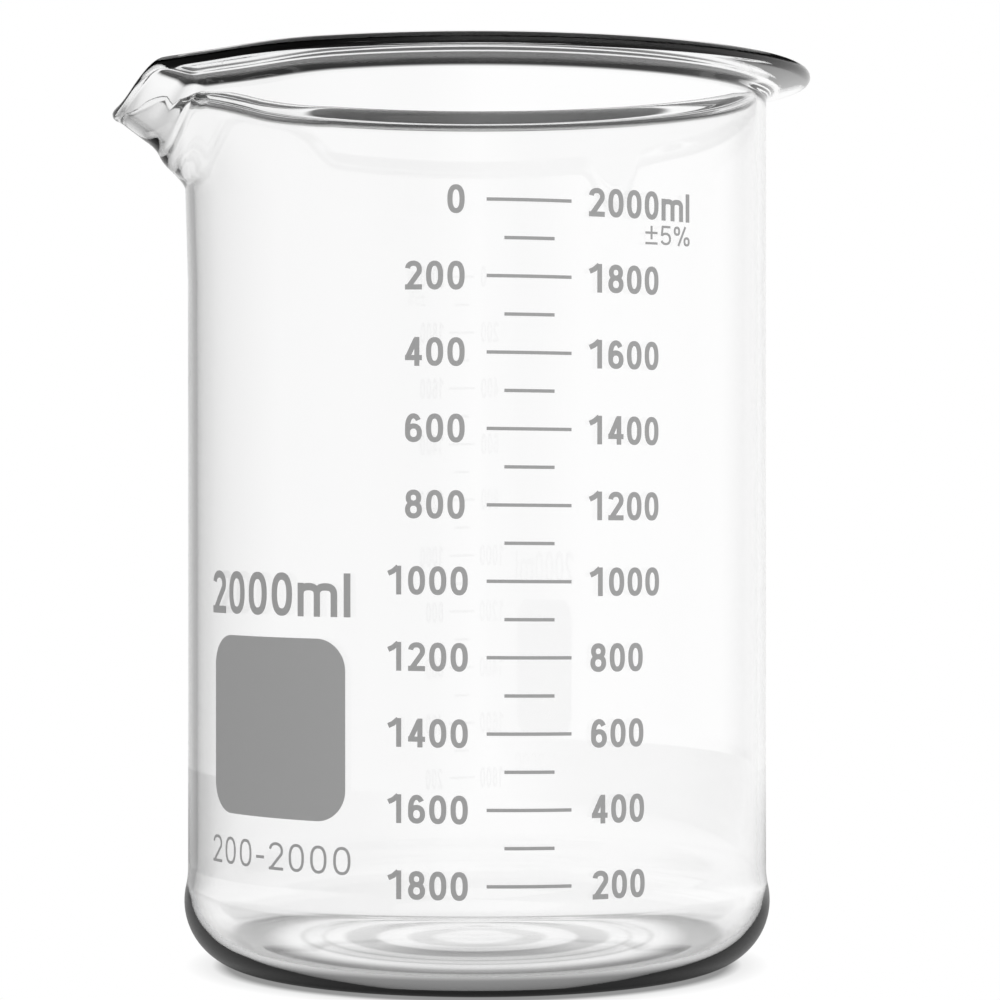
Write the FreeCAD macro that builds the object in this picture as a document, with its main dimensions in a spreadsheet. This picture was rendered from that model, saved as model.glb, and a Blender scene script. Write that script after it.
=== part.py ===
import FreeCAD
import Part
import Sketcher
import math
import os

# Low-form laboratory beaker, about two litres, blown from borosilicate glass, with a fired enamel scale.
# Millimetres. The axis of the wall is Z, the standing ring lies on z = 0, the pouring spout points to -X and
# the scale faces -Y, a few degrees round towards +X.

SIZES = {
    # Glass body
    "wall_outer_diameter": 130.7,
    "wall_thickness": 2.0,
    "total_height": 201.4,
    "base_thickness": 3.5,
    "outer_corner_radius": 14.8,
    "inner_corner_radius": 12.3,
    "heel_bulge": 0.85,
    "heel_hollow_radius": 20.0,
    "dish_radius": 40.0,
    "dish_rise": 1.2,
    # Rim
    "rim_overhang": 9.9,
    "lip_diameter": 3.0,
    "flare_radius": 12.0,
    # Spout, as pulled out and down of the soft rim between two fingers that press it in on each side
    "spout_height": 27.5,
    "spout_root_softness": 4.0,
    "spout_reach": 8.4,
    "reach_half_angle": 41.6,
    "reach_roundness": 0.93,
    "spout_drop": 8.8,
    "drop_half_angle": 22.2,
    "drop_roundness": 2.6,
    "pinch_depth": 3.45,
    "pinch_bearing": 36.0,
    "pinch_half_angle": 24.0,
    "pinch_roundness": 2.0,
    # Enamel print
    "enamel_thickness": 0.06,
    "scale_bearing": 276.5,
    "lowest_line_height": 24.8,
    "highest_line_depth": 33.9,
    "long_line_length": 18.0,
    "short_line_length": 10.6,
    "line_width": 0.71,
    "long_line_count": 10,
    "patch_bearing": 224.3,
    "patch_width": 39.5,
    "patch_height": 38.4,
    "patch_corner_radius": 6.7,
    "patch_bottom_height": 37.6,
}

# How a sketch counts the places on a piece of it, and its own origin and axes
START, END, CENTRE = range(1, 4)
ACROSS, UPRIGHT = range(-1, -3, -1)
ORIGIN = (ACROSS, START)
UP = FreeCAD.Vector(0, 0, 1)
AXIS_POINT = FreeCAD.Vector(0, 0, 0)

# The height from one long line of the scale to the next
SCALE_HEIGHT = "sizes.total_height - sizes.highest_line_depth - sizes.lowest_line_height"
LINE_PITCH = f"({SCALE_HEIGHT}) / (sizes.long_line_count - 1)"

# How finely the rim's surfaces are divided before the spout is pulled, and how closely their edges meet
SPAN_ANGLE = 120
DIVISIONS_ROUND, DIVISIONS_UP = 24, 5
KNOT_TOLERANCE, SEAM_TOLERANCE = 1e-9, 1e-5

doc = FreeCAD.newDocument("griffin_beaker")
sheet = doc.addObject("Spreadsheet::Sheet", "sizes")
for row, (alias, value) in enumerate(SIZES.items(), start=1):
    sheet.set(f"A{row}", alias)
    sheet.set(f"B{row}", str(value))
    sheet.setAlias(f"B{row}", alias)
doc.recompute()


def size(alias):
    return float(sheet.get(alias))


def new_sketch(body, name, role="XZ_Plane"):
    """A sketch on the body's own upright plane. On XZ its x is the radius and its y the height."""
    sketch = body.newObject("Sketcher::SketchObject", name)
    plane = next(item for item in body.Origin.OriginFeatures if item.Role == role)
    sketch.AttachmentSupport = (plane, "")
    sketch.MapMode = "FlatFace"
    return sketch


def add_line(sketch, start, end):
    return sketch.addGeometry(Part.LineSegment(FreeCAD.Vector(*start, 0), FreeCAD.Vector(*end, 0)), False)


def add_arc(sketch, centre, radius, first, last):
    """An arc run anticlockwise from the first angle to the last one, in degrees."""
    circle = Part.Circle(FreeCAD.Vector(*centre, 0), FreeCAD.Vector(0, 0, 1), radius)
    return sketch.addGeometry(Part.ArcOfCircle(circle, math.radians(first), math.radians(last)), False)


def bind(sketch, name, expression, kind, *items):
    """A named dimension of the sketch, tied to the sheet. It starts as drawn, so that nothing jumps."""
    if kind == "Radius":
        drawn = sketch.Geometry[items[0]].Radius
    else:
        apart = sketch.getPoint(*items[2:]) - sketch.getPoint(*items[:2])
        drawn = apart.x if kind == "DistanceX" else apart.y
    index = sketch.addConstraint(Sketcher.Constraint(kind, *items, drawn))
    sketch.renameConstraint(index, name)
    sketch.setExpression(f"Constraints.{name}", expression)


def revolve(body, sketch, name, angle="360"):
    """The sketch turned about the vertical axis, by an angle that lies half on each side of it."""
    feature = body.newObject("PartDesign::Revolution", name)
    feature.Profile = sketch
    feature.ReferenceAxis = (sketch, ["V_Axis"])
    feature.Midplane = angle != "360"
    feature.setExpression("Angle", angle)
    return feature


def heel(sketch, corner, corner_radius, wall, hollow_radius):
    """Two tangent arcs: the corner of the base, which swells past the wall, and the hollow back to it."""
    reach = corner_radius + hollow_radius
    turn = math.acos((wall + hollow_radius - corner[0]) / reach)
    hollow_centre = (wall + hollow_radius, corner[1] + reach * math.sin(turn))
    round_corner = add_arc(sketch, corner, corner_radius, -90, math.degrees(turn))
    hollow = add_arc(sketch, hollow_centre, hollow_radius, 180, 180 + math.degrees(turn))
    sketch.addConstraint(Sketcher.Constraint("Tangent", round_corner, END, hollow, END))
    return round_corner, hollow, (wall, hollow_centre[1])


def foot_profile(sketch):
    """Half section of the base and wall, up to the height where the spout starts."""
    outside = size("wall_outer_diameter") / 2
    inside = outside - size("wall_thickness")
    top = size("total_height") - size("spout_height")
    floor, dish, rise = size("base_thickness"), size("dish_radius"), size("dish_rise")
    bulge, hollow = size("heel_bulge"), size("heel_hollow_radius")
    inner_corner, outer_corner = size("inner_corner_radius"), size("outer_corner_radius")
    dome = (dish ** 2 + rise ** 2) / (2 * rise)
    dome_edge = math.degrees(math.acos(dish / dome))
    inner_flat = inside + bulge - inner_corner
    outer_flat = outside + bulge - outer_corner

    middle = add_line(sketch, (0, rise), (0, rise + floor))
    inner_dome = add_arc(sketch, (0, rise + floor - dome), dome, dome_edge, 90)
    inner_floor = add_line(sketch, (dish, floor), (inner_flat, floor))
    inner_round, inner_hollow, inner_foot = heel(
        sketch, (inner_flat, floor + inner_corner), inner_corner, inside, hollow + size("wall_thickness"))
    inner_wall = add_line(sketch, inner_foot, (inside, top))
    joint = add_line(sketch, (inside, top), (outside, top))
    outer_round, outer_hollow, outer_foot = heel(
        sketch, (outer_flat, outer_corner), outer_corner, outside, hollow)
    outer_wall = add_line(sketch, (outside, top), outer_foot)
    standing_ring = add_line(sketch, (outer_flat, 0), (dish, 0))
    outer_dome = add_arc(sketch, (0, rise - dome), dome, dome_edge, 90)

    sketch.addConstraint([
        Sketcher.Constraint("Coincident", middle, END, inner_dome, END),
        Sketcher.Constraint("Coincident", inner_dome, START, inner_floor, START),
        Sketcher.Constraint("Tangent", inner_floor, END, inner_round, START),
        Sketcher.Constraint("Tangent", inner_hollow, START, inner_wall, START),
        Sketcher.Constraint("Coincident", inner_wall, END, joint, START),
        Sketcher.Constraint("Coincident", joint, END, outer_wall, START),
        Sketcher.Constraint("Tangent", outer_wall, END, outer_hollow, START),
        Sketcher.Constraint("Tangent", outer_round, START, standing_ring, START),
        Sketcher.Constraint("Coincident", standing_ring, END, outer_dome, START),
        Sketcher.Constraint("Coincident", outer_dome, END, middle, START),
        Sketcher.Constraint("PointOnObject", middle, START, UPRIGHT),
        Sketcher.Constraint("PointOnObject", middle, END, UPRIGHT),
        Sketcher.Constraint("PointOnObject", inner_dome, CENTRE, UPRIGHT),
        Sketcher.Constraint("PointOnObject", outer_dome, CENTRE, UPRIGHT),
        Sketcher.Constraint("PointOnObject", standing_ring, START, ACROSS),
        Sketcher.Constraint("Horizontal", inner_floor),
        Sketcher.Constraint("Horizontal", joint),
        Sketcher.Constraint("Horizontal", standing_ring),
        Sketcher.Constraint("Vertical", inner_wall),
        Sketcher.Constraint("Vertical", outer_wall),
    ])
    outside_radius = "sizes.wall_outer_diameter / 2"
    inside_radius = f"{outside_radius} - sizes.wall_thickness"
    outer_swell = f"{outside_radius} + sizes.heel_bulge - sizes.outer_corner_radius"
    inner_swell = f"{inside_radius} + sizes.heel_bulge - sizes.inner_corner_radius"
    inner_hollow_radius = "sizes.heel_hollow_radius + sizes.wall_thickness"
    bind(sketch, "outside_radius", outside_radius, "DistanceX", *ORIGIN, outer_wall, START)
    bind(sketch, "inside_radius", inside_radius, "DistanceX", *ORIGIN, inner_wall, START)
    bind(sketch, "wall_top", "sizes.total_height - sizes.spout_height", "DistanceY", *ORIGIN, inner_wall, END)
    bind(sketch, "floor_height", "sizes.base_thickness", "DistanceY", *ORIGIN, inner_floor, END)
    bind(sketch, "dish_outside", "sizes.dish_radius", "DistanceX", *ORIGIN, standing_ring, END)
    bind(sketch, "dish_inside", "sizes.dish_radius", "DistanceX", *ORIGIN, inner_floor, START)
    bind(sketch, "underside_rise", "sizes.dish_rise", "DistanceY", *ORIGIN, middle, START)
    bind(sketch, "middle_thickness", "sizes.base_thickness", "DistanceY", middle, START, middle, END)
    bind(sketch, "inner_corner", "sizes.inner_corner_radius", "Radius", inner_round)
    bind(sketch, "outer_corner", "sizes.outer_corner_radius", "Radius", outer_round)
    bind(sketch, "inner_swell", inner_swell, "DistanceX", *ORIGIN, inner_round, CENTRE)
    bind(sketch, "outer_swell", outer_swell, "DistanceX", *ORIGIN, outer_round, CENTRE)
    bind(sketch, "inner_hollow", inner_hollow_radius, "Radius", inner_hollow)
    bind(sketch, "outer_hollow", "sizes.heel_hollow_radius", "Radius", outer_hollow)


def at(radius, height):
    return FreeCAD.Vector(radius, 0, height)


def on_circle(centre, radius, towards):
    """The point of a circle in the XZ plane that lies towards another point."""
    return centre + (towards - centre).normalize() * radius


def rim_edges():
    """The rim's section in the XZ plane, outside to inside: wall, flare, lip, flare and wall, all tangent."""
    outside = size("wall_outer_diameter") / 2
    inside = outside - size("wall_thickness")
    root = size("total_height") - size("spout_height")
    lip = size("lip_diameter") / 2
    flare = size("flare_radius")
    lip_radius = outside + size("rim_overhang") - lip
    lip_height = size("total_height") - lip
    flare_axis = outside + flare
    flare_rise = math.sqrt((flare + lip) ** 2 - (flare_axis - lip_radius) ** 2)
    across = lip_radius - inside
    inner_flare = (across ** 2 + flare_rise ** 2 - lip ** 2) / (2 * (across - lip))
    lip_centre = at(lip_radius, lip_height)
    outer_centre = at(flare_axis, lip_height - flare_rise)
    inner_centre = at(inside + inner_flare, lip_height - flare_rise)

    outer_start = at(outside, lip_height - flare_rise)
    outer_end = on_circle(outer_centre, flare, lip_centre)
    inner_start = at(inside, lip_height - flare_rise)
    inner_end = on_circle(inner_centre, inner_flare, lip_centre)
    outer_middle = on_circle(outer_centre, flare, (outer_start + outer_end) / 2)
    inner_middle = on_circle(inner_centre, inner_flare, (inner_start + inner_end) / 2)
    lip_middle = on_circle(lip_centre, lip, lip_centre * 2 - (outer_end + inner_end) / 2)
    return [
        Part.makeLine(at(outside, root), outer_start),
        Part.Arc(outer_start, outer_middle, outer_end).toShape(),
        Part.Arc(outer_end, lip_middle, inner_end).toShape(),
        Part.Arc(inner_end, inner_middle, inner_start).toShape(),
        Part.makeLine(inner_start, at(inside, root)),
        Part.makeLine(at(inside, root), at(outside, root)),
    ]


def hump(name, bearing):
    """1 in the middle, falling smoothly to 0 at the named half angle, and 0 beyond. Less round is sharper."""
    share = abs(bearing) / size(f"{name}_half_angle")
    return (1 - min(share, 1.0) ** size(f"{name}_roundness")) ** 2


def pulled(point):
    """Where a point of the round rim goes when the spout is drawn out of it.

    The pull grows from nothing at the spout's root to its whole amount at the top. It starts softly, along a
    hyperbola, rises fast and levels off. Across, the rim moves out and down in two humps about -X, of which
    the downward one is the narrower, and in by a shallow hump on each side."""
    depth = size("spout_height")
    softness = size("spout_root_softness")
    height = max(point.z - (size("total_height") - depth), 0.0)
    share = (math.hypot(height, softness) - softness) / (math.hypot(depth, softness) - softness)
    growth = share * (2 - share)
    bearing = abs(math.degrees(math.atan2(point.y, -point.x)))
    pinch = size("pinch_depth") * hump("pinch", bearing - size("pinch_bearing"))
    reach = size("spout_reach") * hump("reach", bearing) - pinch
    drop = size("spout_drop") * hump("drop", bearing)
    outwards = FreeCAD.Vector(point.x, point.y, 0).normalize()
    return point + (outwards * reach - UP * drop) * growth


def rim_face(edge):
    """The edge turned about Z as one smooth surface, whose poles near the spout are then pulled.

    The turn starts a sixth of a circle from the spout, so that the first of the surface's three equal spans
    has the spout in its middle. That span and the height are divided finely before the pull."""
    edge = edge.copy()
    edge.rotate(AXIS_POINT, UP, SPAN_ANGLE)
    surface = edge.revolve(AXIS_POINT, UP, 360).toNurbs().Faces[0].Surface
    first, last = surface.getUKnot(1), surface.getUKnot(2)
    for step in range(1, DIVISIONS_ROUND):
        surface.insertUKnot(first + (last - first) * step / DIVISIONS_ROUND, 1, KNOT_TOLERANCE)
    if surface.VDegree == 1:
        surface.increaseDegree(surface.UDegree, surface.UDegree + 1)
        first, last = surface.getVKnot(1), surface.getVKnot(2)
        for step in range(1, DIVISIONS_UP):
            surface.insertVKnot(first + (last - first) * step / DIVISIONS_UP, 1, KNOT_TOLERANCE)
    for u in range(1, surface.NbUPoles + 1):
        for v in range(1, surface.NbVPoles + 1):
            surface.setPole(u, v, pulled(surface.getPole(u, v)))
    return surface.toShape()


def spouted_rim():
    """The flared and beaded rim with its spout, as a solid that stands on the wall's top."""
    *drawn, joint = rim_edges()
    faces = [rim_face(edge) for edge in drawn]
    faces.append(joint.revolve(AXIS_POINT, UP, 360))
    skin = Part.makeCompound(faces)
    skin.sewShape(SEAM_TOLERANCE)
    return Part.Solid(skin.Shells[0])


def make_glass():
    """One piece of glass: the foot and wall are turned, and the rim with its spout is joined on."""
    foot = doc.addObject("PartDesign::Body", "foot_and_wall")
    sketch = new_sketch(foot, "foot_section")
    foot_profile(sketch)
    revolve(foot, sketch, "turned_wall")
    rim = doc.addObject("Part::Feature", "spouted_rim")
    rim.Shape = spouted_rim()
    glass = doc.addObject("Part::Fuse", "glass_beaker")
    glass.Base = foot
    glass.Tool = rim
    return glass


def enamel_band(body, name, bottom, height, angle):
    """A curved band of enamel on the outside of the wall, centred on the body's +X side."""
    outside = size("wall_outer_diameter") / 2
    sketch = new_sketch(body, f"{name}_section")
    skin = outside + size("enamel_thickness")
    low = size("lowest_line_height")
    high = low + size("line_width")
    corners = [(outside, low), (skin, low), (skin, high), (outside, high)]
    sides = [add_line(sketch, start, end) for start, end in zip(corners, corners[1:] + corners[:1])]
    for side, following in zip(sides, sides[1:] + sides[:1]):
        sketch.addConstraint(Sketcher.Constraint("Coincident", side, END, following, START))
    for level, upright in (sides[:2], sides[2:]):
        sketch.addConstraint(Sketcher.Constraint("Horizontal", level))
        sketch.addConstraint(Sketcher.Constraint("Vertical", upright))
    bind(sketch, "glass_radius", "sizes.wall_outer_diameter / 2", "DistanceX", *ORIGIN, sides[0], START)
    bind(sketch, "bottom", bottom, "DistanceY", *ORIGIN, sides[0], START)
    bind(sketch, "thickness", "sizes.enamel_thickness", "DistanceX", sides[0], START, sides[0], END)
    bind(sketch, "height", height, "DistanceY", sides[1], START, sides[1], END)
    return revolve(body, sketch, name, angle)


def enamel_body(name, bearing):
    """A body whose +X side is turned to a bearing about Z."""
    body = doc.addObject("PartDesign::Body", name)
    body.AllowCompound = True
    body.Placement = FreeCAD.Placement(AXIS_POINT, FreeCAD.Rotation(UP, size(bearing)))
    body.setExpression("Placement.Rotation.Angle", f"sizes.{bearing}")
    return body


def repeat_upwards(body, line, count):
    """The line repeated up the wall at the pitch of the scale."""
    pattern = body.newObject("PartDesign::LinearPattern", f"{line.Name}_pattern")
    pattern.Originals = [line]
    pattern.Direction = (line.Profile[0], ["V_Axis"])
    pattern.setExpression("Occurrences", count)
    pattern.setExpression("Length", f"{LINE_PITCH} * ({count} - 1)")
    body.Tip = pattern
    doc.recompute()


def make_graduation_lines():
    """The long lines of the scale and a short one half way between each two, all one print."""
    body = enamel_body("graduation_lines", "scale_bearing")
    lowest = "sizes.lowest_line_height - sizes.line_width / 2"
    for name, bottom, length, count in (
        ("long_line", lowest, "sizes.long_line_length", "sizes.long_line_count"),
        ("short_line", f"{lowest} + {LINE_PITCH} / 2", "sizes.short_line_length", "sizes.long_line_count - 1"),
    ):
        angle = f"{length} / (sizes.wall_outer_diameter / 2) * 180 / pi"
        line = enamel_band(body, name, bottom, "sizes.line_width", angle)
        repeat_upwards(body, line, count)
    return body


def rounded_window(sketch):
    """A rectangle with rounded corners: four straight sides and four quarter arcs, all tangent."""
    across = size("patch_width") / 2
    bottom = size("patch_bottom_height")
    top = bottom + size("patch_height")
    round_off = size("patch_corner_radius")
    left, right, low, high = round_off - across, across - round_off, bottom + round_off, top - round_off
    pieces = [
        add_line(sketch, (left, bottom), (right, bottom)),
        add_arc(sketch, (right, low), round_off, -90, 0),
        add_line(sketch, (across, low), (across, high)),
        add_arc(sketch, (right, high), round_off, 0, 90),
        add_line(sketch, (right, top), (left, top)),
        add_arc(sketch, (left, high), round_off, 90, 180),
        add_line(sketch, (-across, high), (-across, low)),
        add_arc(sketch, (left, low), round_off, 180, 270),
    ]
    floor, first, side, second, ceiling, third, other_side, fourth = pieces
    for piece, following in zip(pieces, pieces[1:] + pieces[:1]):
        sketch.addConstraint(Sketcher.Constraint("Tangent", piece, END, following, START))
    for arc in (second, third, fourth):
        sketch.addConstraint(Sketcher.Constraint("Equal", first, arc))
    sketch.addConstraint([
        Sketcher.Constraint("Symmetric", floor, START, floor, END, UPRIGHT),
        Sketcher.Constraint("Horizontal", ceiling),
        Sketcher.Constraint("Vertical", side),
        Sketcher.Constraint("Vertical", other_side),
    ])
    bind(sketch, "corner", "sizes.patch_corner_radius", "Radius", first)
    bind(sketch, "bottom", "sizes.patch_bottom_height", "DistanceY", *ORIGIN, floor, START)
    bind(sketch, "width", "sizes.patch_width", "DistanceX", other_side, START, side, START)
    bind(sketch, "height", "sizes.patch_height", "DistanceY", floor, END, ceiling, START)


def make_marking_patch():
    """The plain field of enamel that takes a pencil: a band round the wall, seen through a rounded window."""
    sleeve = enamel_body("patch_sleeve", "patch_bearing")
    enamel_band(sleeve, "patch_band", "sizes.patch_bottom_height", "sizes.patch_height", "360")
    window = enamel_body("patch_window", "patch_bearing")
    sketch = new_sketch(window, "window_outline", "YZ_Plane")
    rounded_window(sketch)
    pad = window.newObject("PartDesign::Pad", "window_depth")
    pad.Profile = sketch
    pad.setExpression("Length", "sizes.wall_outer_diameter")
    patch = doc.addObject("Part::Common", "marking_patch")
    patch.Base = sleeve
    patch.Tool = window
    return patch


subparts = [make_glass(), make_marking_patch(), make_graduation_lines()]
doc.recompute()

failed = [item.Name for item in doc.Objects if "Invalid" in item.State or "Error" in item.State]
if failed:
    raise RuntimeError(f"these objects failed to build: {failed}")
for subpart in subparts:
    if subpart.Shape.isNull() or not subpart.Shape.isValid():
        raise RuntimeError(f"{subpart.Label} has no valid shape")

os.makedirs("parts", exist_ok=True)
for subpart in subparts:
    subpart.Shape.exportStep(f"parts/{subpart.Label}.step")
    box = subpart.Shape.BoundBox
    print(f"{subpart.Label}: {len(subpart.Shape.Solids)} solid(s), {subpart.Shape.Volume:.1f} mm3, "
          f"{box.XLength:.2f} x {box.YLength:.2f} x {box.ZLength:.2f} mm")
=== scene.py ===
"""The looks of a two-litre low-form laboratory beaker: clear blown glass with a grey enamel scale.

Metres. +Z runs up the axis of the wall, the spout points to -X and the scale faces -Y, a few degrees round
towards +X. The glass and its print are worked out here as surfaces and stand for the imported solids. They
repeat their sizes, apart from the rim, whose bend is tighter here and whose flange is nearly flat, and the
spout, which is fuller underneath and pinched a little less."""

import math

import bpy
import numpy as np
from bpy.props import FloatProperty, FloatVectorProperty, IntProperty, PointerProperty
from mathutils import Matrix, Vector


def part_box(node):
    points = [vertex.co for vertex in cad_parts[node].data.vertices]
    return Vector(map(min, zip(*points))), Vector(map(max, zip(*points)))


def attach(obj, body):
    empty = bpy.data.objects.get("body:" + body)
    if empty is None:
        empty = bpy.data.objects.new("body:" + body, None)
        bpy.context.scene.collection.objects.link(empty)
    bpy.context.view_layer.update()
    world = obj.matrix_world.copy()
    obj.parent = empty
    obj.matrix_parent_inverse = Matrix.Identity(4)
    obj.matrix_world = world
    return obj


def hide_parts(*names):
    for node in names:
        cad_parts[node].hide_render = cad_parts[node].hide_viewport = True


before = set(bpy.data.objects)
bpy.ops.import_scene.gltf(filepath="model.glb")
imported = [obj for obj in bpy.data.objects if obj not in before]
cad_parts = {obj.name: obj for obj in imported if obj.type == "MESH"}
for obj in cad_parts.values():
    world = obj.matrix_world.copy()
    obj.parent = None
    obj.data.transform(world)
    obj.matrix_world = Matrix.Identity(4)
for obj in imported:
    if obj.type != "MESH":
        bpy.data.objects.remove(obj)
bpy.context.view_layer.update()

bl_info = {
    "name": "Laboratory beaker",
    "version": (1, 0, 0),
    "blender": (4, 5, 0),
    "location": "View3D > Sidebar > Beaker",
    "description": "Builds a two-litre glass beaker with its enamel scale, and a stage for it",
    "category": "Add Mesh",
}

MM = 0.001
BODY = "root"
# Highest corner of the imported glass
GLASS_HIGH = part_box("glass_beaker")[1]


def linear(hex_colour):
    """An sRGB hex colour in linear light: c / 12.92 up to 0.04045, else ((c + 0.055) / 1.055) to the 2.4."""
    shares = [int(hex_colour[place:place + 2], 16) / 255 for place in (1, 3, 5)]
    return [c / 12.92 if c <= 0.04045 else ((c + 0.055) / 1.055) ** 2.4 for c in shares]


def length(label, description, default):
    return FloatProperty(name=label, description=description, default=default, unit="LENGTH", precision=5)


def number(label, description, default):
    return FloatProperty(name=label, description=description, default=default)


def colour(label, description, hex_colour):
    return FloatVectorProperty(name=label, description=description, default=linear(hex_colour),
                               subtype="COLOR", min=0, max=1)


class GlassSizes(bpy.types.PropertyGroup):
    """Sizes of the blown glass."""
    wall_radius: length("Wall radius", "Outside radius of the straight wall", 65.35 * MM)
    wall_thickness: length("Wall thickness", "Thickness of the wall", 2.0 * MM)
    base_thickness: length("Base thickness", "Thickness of the base", 3.5 * MM)
    outer_corner: length("Outer corner", "Outside radius of the rounded base", 14.8 * MM)
    inner_corner: length("Inner corner", "Inside radius of the rounded base", 12.3 * MM)
    heel_bulge: length("Heel bulge", "How far the corner of the base swells past the wall", 0.85 * MM)
    heel_hollow: length("Heel hollow", "Radius of the hollow that leads back to the wall", 20.0 * MM)
    dish_radius: length("Dish radius", "Inside radius of the standing ring", 40.0 * MM)
    dish_rise: length("Dish rise", "How far the middle of the base rises", 1.2 * MM)
    rim_radius: length("Rim radius", "Outside radius of the rim, away from the spout", GLASS_HIGH.x)
    rim_height: length("Rim height", "Height of the rim", GLASS_HIGH.z)
    lip_diameter: length("Lip diameter", "Thickness of the bead on the rim", 3.0 * MM)
    outer_bend: length("Outer bend", "Outside radius of the bend from the wall to the flange", 2.5 * MM)
    inner_bend: length("Inner bend", "Inside radius of the bend from the wall to the flange", 5.0 * MM)
    underside_slope: number("Underside slope", "Degrees that the flange's underside rises outwards", 13.0)
    top_slope: number("Top slope", "Degrees that the flange's top rises outwards", 8.0)
    spout_height: length("Spout height", "Height of glass that the spout is drawn from", 25.4 * MM)
    spout_rise: length("Spout rise", "Height over which the pull grows to its whole amount", 19.2 * MM)
    spout_softness: length("Spout softness", "Height over which the pull sets in and levels off", 4.0 * MM)
    spout_sag: length("Spout sag", "How much lower the wall goes than the lip at the spout", 5.8 * MM)
    spout_reach: length("Spout reach", "How far the spout is drawn out of the rim", 8.57 * MM)
    reach_half_angle: number("Reach half angle", "Degrees of rim on each side that are drawn out", 41.5)
    reach_roundness: number("Reach roundness", "Lower is more pointed", 0.96)
    spout_drop: length("Spout drop", "How far the tip of the spout is drawn down", 8.55 * MM)
    drop_half_angle: number("Drop half angle", "Degrees of rim on each side that are drawn down", 21.8)
    drop_roundness: number("Drop roundness", "Lower is more pointed", 2.66)
    pinch_depth: length("Pinch depth", "How far the rim is pressed in beside the spout", 2.4 * MM)
    pinch_bearing: number("Pinch bearing", "Degrees from the spout to the middle of each pinch", 35.9)
    pinch_half_angle: number("Pinch half angle", "Degrees of rim on each side of a pinch's middle", 24.1)
    pinch_roundness: number("Pinch roundness", "Lower is more pointed", 2.0)
    tip_rounding: number("Tip rounding", "Degrees on each side of the spout's tip that are rounded off", 3.4)
    segments: IntProperty(name="Segments", description="Faces round the glass", default=384, min=24)


class PrintSizes(bpy.types.PropertyGroup):
    """Sizes of the enamel print. Widths are measured along the wall, heights from the base."""
    thickness: length("Thickness", "How far the enamel stands off the glass", 0.05 * MM)
    depth: length("Depth", "How far its back lies in the glass, so that no gap shows", 0.02 * MM)
    overlap: length("Overlap", "How much higher a stroke lies than the one that it crosses", 0.005 * MM)
    scale_bearing: number("Scale bearing", "Degrees from +X to the middle of the scale", 276.5)
    line_count: IntProperty(name="Long lines", description="Number of long lines", default=10, min=2)
    first_line: length("First line", "Height of the lowest long line", 24.8 * MM)
    line_pitch: length("Line pitch", "Height from one long line to the next", 15.856 * MM)
    long_line: length("Long line", "Length of a long line", 18.0 * MM)
    short_line: length("Short line", "Length of a short line", 10.6 * MM)
    line_width: length("Line width", "Width of a line of the scale", 0.71 * MM)
    numeral_height: length("Numeral height", "Height of the numerals", 6.0 * MM)
    numeral_gap: length("Numeral gap", "From the middle of the scale to the numerals", 12.9 * MM)
    numeral_drift: length("Numeral drift", "How much further right the lowest numerals stand", 0.85 * MM)
    numeral_weight: number("Numeral weight", "Width of the numerals' pen, as a share of their height", 0.18)
    short_gap: length("Short gap", "How much further left the numerals below 1000 stand", 0.65 * MM)
    scale_tilt: number("Scale tilt", "How far the scale falls to the right, as a share of the way", 0.0105)
    patch_bearing: number("Patch bearing", "Degrees from +X to the middle of the marking patch", 224.3)
    patch_width: length("Patch width", "Width of the marking patch, straight across", 39.5 * MM)
    patch_height: length("Patch height", "Height of the marking patch", 38.4 * MM)
    patch_corner: length("Patch corner", "Radius of the marking patch's corners", 6.7 * MM)
    patch_bottom: length("Patch bottom", "Height of the marking patch's lower edge", 37.6 * MM)
    volume_height: length("Volume height", "Height of the large volume mark", 9.2 * MM)
    volume_width: length("Volume width", "Width of the large volume mark", 42.7 * MM)
    volume_bottom: length("Volume bottom", "Height of the large volume mark's foot", 80.6 * MM)
    volume_weight: number("Volume weight", "Width of its pen, as a share of its height", 0.17)
    range_height: length("Range height", "Height of the small mark below the patch", 5.9 * MM)
    range_bottom: length("Range bottom", "Height of the small mark's foot", 26.6 * MM)
    range_weight: number("Range weight", "Width of its pen, as a share of its height", 0.105)
    range_spacing: number("Range spacing", "Space between its signs, as a share of its height", 0.22)
    tolerance_height: length("Tolerance height", "Height of the tolerance mark", 4.1 * MM)
    tolerance_bottom: length("Tolerance bottom", "Height of the tolerance mark's foot", 159.0 * MM)
    tolerance_right: length("Tolerance right", "From the middle of the scale to its right end", 39.0 * MM)
    tolerance_width: length("Tolerance width", "Width of the tolerance mark", 12.5 * MM)
    tolerance_weight: number("Tolerance weight", "Width of its pen, as a share of its height", 0.12)


class Finishes(bpy.types.PropertyGroup):
    """Colours of the glass, the enamel and the floor."""
    glass: colour("Glass", "Clear borosilicate glass", "#fefefe")
    enamel: colour("Enamel", "Grey fired enamel", "#9b9b9b")
    enamel_light: colour("Light enamel", "Enamel where it was printed thinner", "#a9a9a9")
    floor: colour("Floor", "Pale floor", "#f4f4f4")


class StageSettings(bpy.types.PropertyGroup):
    """Camera and light."""
    bearing: number("Bearing", "Degrees from +X to the side of the axis that the camera stands on", 266.9)
    distance: length("Distance", "How far the camera stands from the axis", 760 * MM)
    height: length("Height", "Height of the camera", 108.1 * MM)
    lens: number("Lens", "Focal length in millimetres", 120.56)
    aim_right: length("Aim right", "How far right of the axis the camera aims", 5.17 * MM)
    aim_height: length("Aim height", "Height on the axis that the camera aims at", 104.9 * MM)
    floor_radius: length("Floor radius", "Radius of the floor", 550 * MM)
    ambient: number("Ambient", "Strength of the room's light", 0.62)
    key: number("Key", "Power of the large soft lamp in watts", 9.0)
    fill: number("Fill", "Power of the soft lamp opposite it in watts", 4.0)


# Meshes


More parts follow.
